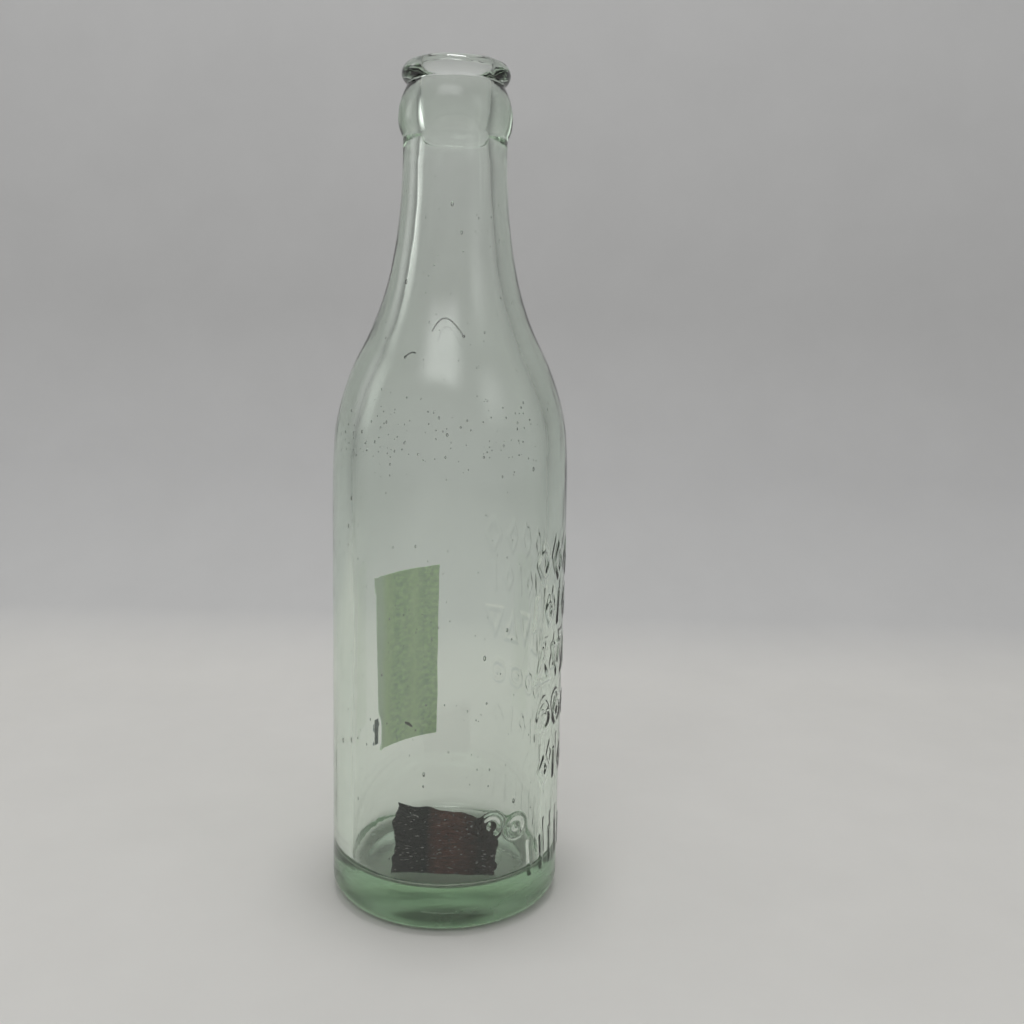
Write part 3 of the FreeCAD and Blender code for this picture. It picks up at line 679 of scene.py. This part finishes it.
def panel_directions():
    """Directions round the bottle, close together where the ornament is."""
    fine = np.arange(-76, 84, 0.75)
    coarse = np.arange(84, 284, 2.0)
    return np.concatenate([fine, coarse])


def ease(outline):
    """Let the straight wall lead into the shoulder gradually, without a line of light there."""
    reach, rounds = 9, 60
    near = np.abs(outline[1:-1, 1:2] - SHOULDER_START) < reach
    for _ in range(rounds):
        average = (outline[:-2] + 2 * outline[1:-1] + outline[2:]) / 4
        outline[1:-1] = np.where(near, average, outline[1:-1])
    return outline


def lathe(outline, directions, push):
    """Rows of points: the outline turned to each direction and pushed along its normal."""
    outline = ease(np.array(outline))
    tangent = np.gradient(outline, axis=0)
    tangent /= np.linalg.norm(tangent, axis=1)[:, None]
    normal = np.stack([tangent[:, 1], -tangent[:, 0]], axis=1)
    direction = np.tile(directions, (len(outline), 1))
    height = np.tile(outline[:, 1:2], (1, len(directions)))
    amount = push(direction, height)
    radius = outline[:, :1] + normal[:, :1] * amount
    level = outline[:, 1:2] + normal[:, 1:] * amount
    turn = np.radians(direction)
    return np.stack([radius * np.cos(turn), radius * np.sin(turn), level], axis=2)


def outer_push(direction, height):
    """How far the outside is moved outwards: calm at the foot and neck, uneven at the lip."""
    calm = fade(height, 4, 14) * (1 - fade(height, 200, 209))
    wave = (ripples(direction, height, 11, OUTER_WAVES) - OUTER_INSET) * calm
    uneven_lip = ripples(direction, height, 17, LIP_WAVES) - LIP_INSET
    wave += uneven_lip * fade(height, 205.5, 207.5)
    return wave + relief_at(direction, height)


def inner_push(direction, height):
    """How far the inside is moved, with calm at the floor and in the mouth."""
    calm = fade(height, FLOOR, FLOOR + 8) * (1 - fade(height, 180, 208))
    return ripples(direction, height, 23, INNER_WAVES) * calm


# Fine lines in the glass, as (direction, height) at the start, the bend and the end, and how
# many small bubbles each is made of.
STREAKS = [((259.8, 146.6), (267.2, 153.1), (280.3, 145.5), 64),
           ((251.2, 141.4), (248.0, 141.9), (245.2, 140.4), 22),
           ((262.0, 5.6), (270.0, 5.2), (279.0, 5.4), 34)]


def seeds():
    """Bubbles caught in the wall: places, half-sizes across and half-lengths up, in mm."""
    generator = np.random.default_rng(7)
    outer = np.array(outer_outline())
    inner = np.array(inner_outline())[::-1]
    rising = outer[:, 1] > HEEL_RADIUS
    found = []

    def add(direction, height, depth, size, stretch):
        outside = np.interp(height, outer[rising, 1], outer[rising, 0])
        inside = np.interp(height, inner[:, 1], inner[:, 0])
        radius = inside + (outside - inside) * depth
        turn = math.radians(direction)
        place = (radius * math.cos(turn), radius * math.sin(turn), height)
        found.append((place, size, size * stretch))

    for start, middle, end, beads in STREAKS:
        for share in np.linspace(0, 1, beads):
            direction, height = ((1 - share) ** 2 * np.array(start)
                                 + 2 * share * (1 - share) * np.array(middle)
                                 + share ** 2 * np.array(end))
            add(direction, height, 0.94, 0.20, 1.0)
        add(*end, 0.92, 0.34, 1.3)
    # Stippling at the heel.
    for _ in range(60):
        add(generator.uniform(278, 291), generator.uniform(4.8, 7.0), 0.97,
            generator.uniform(0.05, 0.09), 1.0)
    # Small bubbles everywhere.
    for _ in range(260):
        add(generator.uniform(0, 360), generator.uniform(14, 188), generator.uniform(0.25, 0.8),
            generator.uniform(0.07, 0.20), generator.uniform(1.0, 2.6))
    # A band of them under the shoulder.
    for _ in range(120):
        add(generator.uniform(205, 320), generator.normal(122, 4), generator.uniform(0.25, 0.8),
            generator.uniform(0.09, 0.25), generator.uniform(0.8, 1.8))
    # A few large ones.
    for _ in range(14):
        add(generator.uniform(200, 340), generator.uniform(25, 180), 0.5,
            generator.uniform(0.25, 0.38), generator.uniform(1.2, 2.2))
    return found


def bubble_shell():
    """A unit sphere as arrays of corners and of faces that look inwards, as air in glass does."""
    mesh = bmesh.new()
    bmesh.ops.create_icosphere(mesh, subdivisions=2, radius=1.0)
    corners = np.array([vertex.co[:] for vertex in mesh.verts])
    faces = np.array([[vertex.index for vertex in face.verts][::-1] for face in mesh.faces])
    mesh.free()
    return corners, faces


def make_glass_bottle(material):
    """The outer and inner surfaces as one closed skin, with the bubbles inside the wall."""
    directions = panel_directions()
    columns = len(directions)
    outer = lathe(outer_outline()[1:], directions, outer_push)
    inner = lathe(inner_outline()[1:-1], directions, inner_push)
    rows = np.concatenate([outer, inner])
    grid = rows.reshape(-1, 3)
    row_count = len(rows)
    poles = np.array([[0, 0, PUSH_UP], [0, 0, FLOOR]])
    bottom_pole, floor_pole = len(grid), len(grid) + 1
    first = np.arange(columns)
    second = (first + 1) % columns
    triangles, quads = [], []
    for row in range(row_count - 1):
        base, above = row * columns, (row + 1) * columns
        quads.append(np.stack([base + first, base + second, above + second, above + first], 1))
    last = (row_count - 1) * columns
    triangles.append(np.stack([second, first, np.full(columns, bottom_pole)], 1))
    triangles.append(np.stack([last + first, last + second, np.full(columns, floor_pole)], 1))
    vertices = [grid, poles]
    count = len(grid) + 2
    sphere, sphere_faces = bubble_shell()
    for place, size, length in seeds():
        vertices.append(sphere * (size, size, length) + place)
        triangles.append(sphere_faces + count)
        count += len(sphere)
    faces = np.concatenate(quads).tolist() + np.concatenate(triangles).tolist()
    mesh = bpy.data.meshes.new("bottle_glass")
    mesh.from_pydata((np.concatenate(vertices) * MM).tolist(), [], faces)
    shade_smooth(mesh)
    mesh.materials.append(material)
    place_piece("bottle_glass", mesh, "glass_bottle")


def place_piece(name, mesh, node):
    """Link a finished mesh, let it ride with the bottle and stand for its CAD node."""
    mesh.update()
    piece = bpy.data.objects.new(name, mesh)
    bpy.context.scene.collection.objects.link(piece)
    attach(piece, "root")
    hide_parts(node)


# ------------------------------------------------------------------ papers

PAPER_THICKNESS = 0.16
PAPER_GAP = 0.02
FULL_TURN = 6.28

# The corners as (direction in degrees, height), the two low ones first.
STICKER_CORNERS = [(99.8, 31.1), (141.0, 29.3), (99.8, 81.3), (147.9, 79.5)]
REMNANT_CORNERS = [(142.4, 31.8), (148.3, 31.8), (142.4, 39.3), (148.3, 39.3)]


def make_paper(name, node, material, corners, seed, raggedness, spacing):
    """A thin curved sheet with slightly uneven edges."""
    (start, low_start), (low_end, low_left), (_, high_start), (high_end, high_left) = corners
    columns = max(4, math.ceil(math.radians(high_end - start) * RADIUS / spacing))
    rows = max(4, math.ceil((high_start - low_start) / spacing))
    share_across, share_up = np.meshgrid(np.linspace(0, 1, columns + 1),
                                         np.linspace(0, 1, rows + 1))
    width = np.radians(low_end - start + (high_end - low_end) * share_up) * RADIUS
    bottom = low_start + (low_left - low_start) * share_across
    top = high_start + (high_left - high_start) * share_across
    generator = np.random.default_rng(seed)

    def uneven(along):
        total = np.zeros(along.shape)
        for waves in (1, 2, 4, 7, 12, 19, 31, 47):
            phase = generator.uniform(0, FULL_TURN)
            total += np.sin(waves * FULL_TURN * along + phase) / waves ** 0.7
        return raggedness * (total / 3 + 1) / 2

    left_inset, right_inset = uneven(share_up), uneven(share_up)
    low_inset, high_inset = uneven(share_across), uneven(share_across)
    across = left_inset + share_across * (width - left_inset - right_inset)
    level = bottom + low_inset + share_up * (top - bottom - low_inset - high_inset)
    direction = np.radians(start) + across / RADIUS
    layers = []
    for radius in (RADIUS + PAPER_GAP, RADIUS + PAPER_GAP + PAPER_THICKNESS):
        layers.append(np.stack([radius * np.cos(direction), radius * np.sin(direction), level],
                               axis=2).reshape(-1, 3))
    stride = columns + 1
    count = stride * (rows + 1)
    faces = []
    for row in range(rows):
        for column in range(columns):
            corner = row * stride + column
            quad = (corner, corner + 1, corner + 1 + stride, corner + stride)
            faces.append(quad[::-1])
            faces.append(tuple(index + count for index in quad))
    rim = (list(range(columns))
           + [row * stride + columns for row in range(rows)]
           + [rows * stride + column for column in range(columns, 0, -1)]
           + [row * stride for row in range(rows, 0, -1)])
    for index, after in zip(rim, rim[1:] + rim[:1]):
        faces.append((index, after, after + count, index + count))
    mesh = bpy.data.meshes.new(name)
    mesh.from_pydata((np.concatenate(layers) * MM).tolist(), [], faces)
    mesh.materials.append(material)
    place_piece(name, mesh, node)


# ------------------------------------------------------------------ scrap

# How far the top and the sides sink in, in metres: evenly, by their roughness and their ribs.
FACE_INSET, FACE_ROUGH, FACE_RIB = 0.00056, 0.000192, 0.000128
# How far the ends sink in: evenly, by their tears, by their roughness, and by their shapes.
END_INSET, END_TEAR, END_ROUGH = 0.0005, 0.0003, 0.00012
LEFT_TAPER, RIGHT_BOW, RIGHT_BOW_LEVEL = 0.0009, 0.0045, 0.45
END_STEEPNESS = 6
FLOOR_CLEARANCE = 0.00002


def make_scrap(material):
    """The wedge of old cork, with ribs along its grain and torn ends."""
    low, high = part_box("dark_scrap")
    corners = np.array([vertex.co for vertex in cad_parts["dark_scrap"].data.vertices])
    right_top = corners[corners[:, 0] > high.x - 0.0001][:, 2].max()
    mesh = bmesh.new()
    bmesh.ops.create_cube(mesh, size=1.0)
    bmesh.ops.subdivide_edges(mesh, edges=mesh.edges[:], cuts=47, use_grid_fill=True)
    generator = np.random.default_rng(31)
    phases = generator.uniform(0, FULL_TURN, 40)
    width, depth = high.x - low.x, high.y - low.y
    for vertex in mesh.verts:
        x, y, z = vertex.co.x + 0.5, vertex.co.y + 0.5, vertex.co.z + 0.5
        rough = sum(math.sin(phases[k] + (6 + 5 * k) * x + (3 + 4 * k) * y + (5 + 6 * k) * z)
                    / (1.5 + k) for k in range(9))
        rib = math.sin(z * 55 + 2.5 * math.sin(9 * x + 4 * y + phases[20]))
        tear = sum(math.sin(phases[10 + k] + (9 + 11 * k) * z + (4 + 5 * k) * y) / (1 + k)
                   for k in range(5))
        inset = FACE_INSET + FACE_ROUGH * rough + FACE_RIB * rib
        end_inset = END_INSET + END_TEAR * tear + END_ROUGH * rough
        if x < 0.5:
            end_inset += LEFT_TAPER * z
            way = 1
        else:
            end_inset += RIGHT_BOW * (z - RIGHT_BOW_LEVEL) ** 2
            way = -1
        near_end = max(0.0, 1 - END_STEEPNESS * min(x, 1 - x))
        top = high.z + (right_top - high.z) * x
        px = low.x + width * x + way * end_inset * near_end
        py = low.y + depth * y + inset * (1 - 2 * y)
        pz = low.z + (top - low.z) * z
        if z > 0.5:
            pz += inset * (1 - 2 * z)
        vertex.co = (min(max(px, low.x), high.x), min(max(py, low.y), high.y),
                     min(max(pz, low.z + FLOOR_CLEARANCE), high.z))
    bmesh.ops.recalc_face_normals(mesh, faces=mesh.faces[:])
    data = bpy.data.meshes.new("scrap")
    mesh.to_mesh(data)
    mesh.free()
    shade_smooth(data)
    data.materials.append(material)
    place_piece("scrap", data, "dark_scrap")


# ------------------------------------------------------------------ the whole scene

make_camera()
bpy.context.scene.view_settings.view_transform = "Standard"
make_light()
make_backdrop(backdrop_material())
make_glass_bottle(glass_material())
make_paper("label_paper", "green_paper_label", green_paper_material(),
           STICKER_CORNERS, 5, 0.35, 0.4)
make_paper("remnant_paper", "label_remnant", dark_paper_material(),
           REMNANT_CORNERS, 9, 0.3, 0.15)
make_scrap(scrap_material())
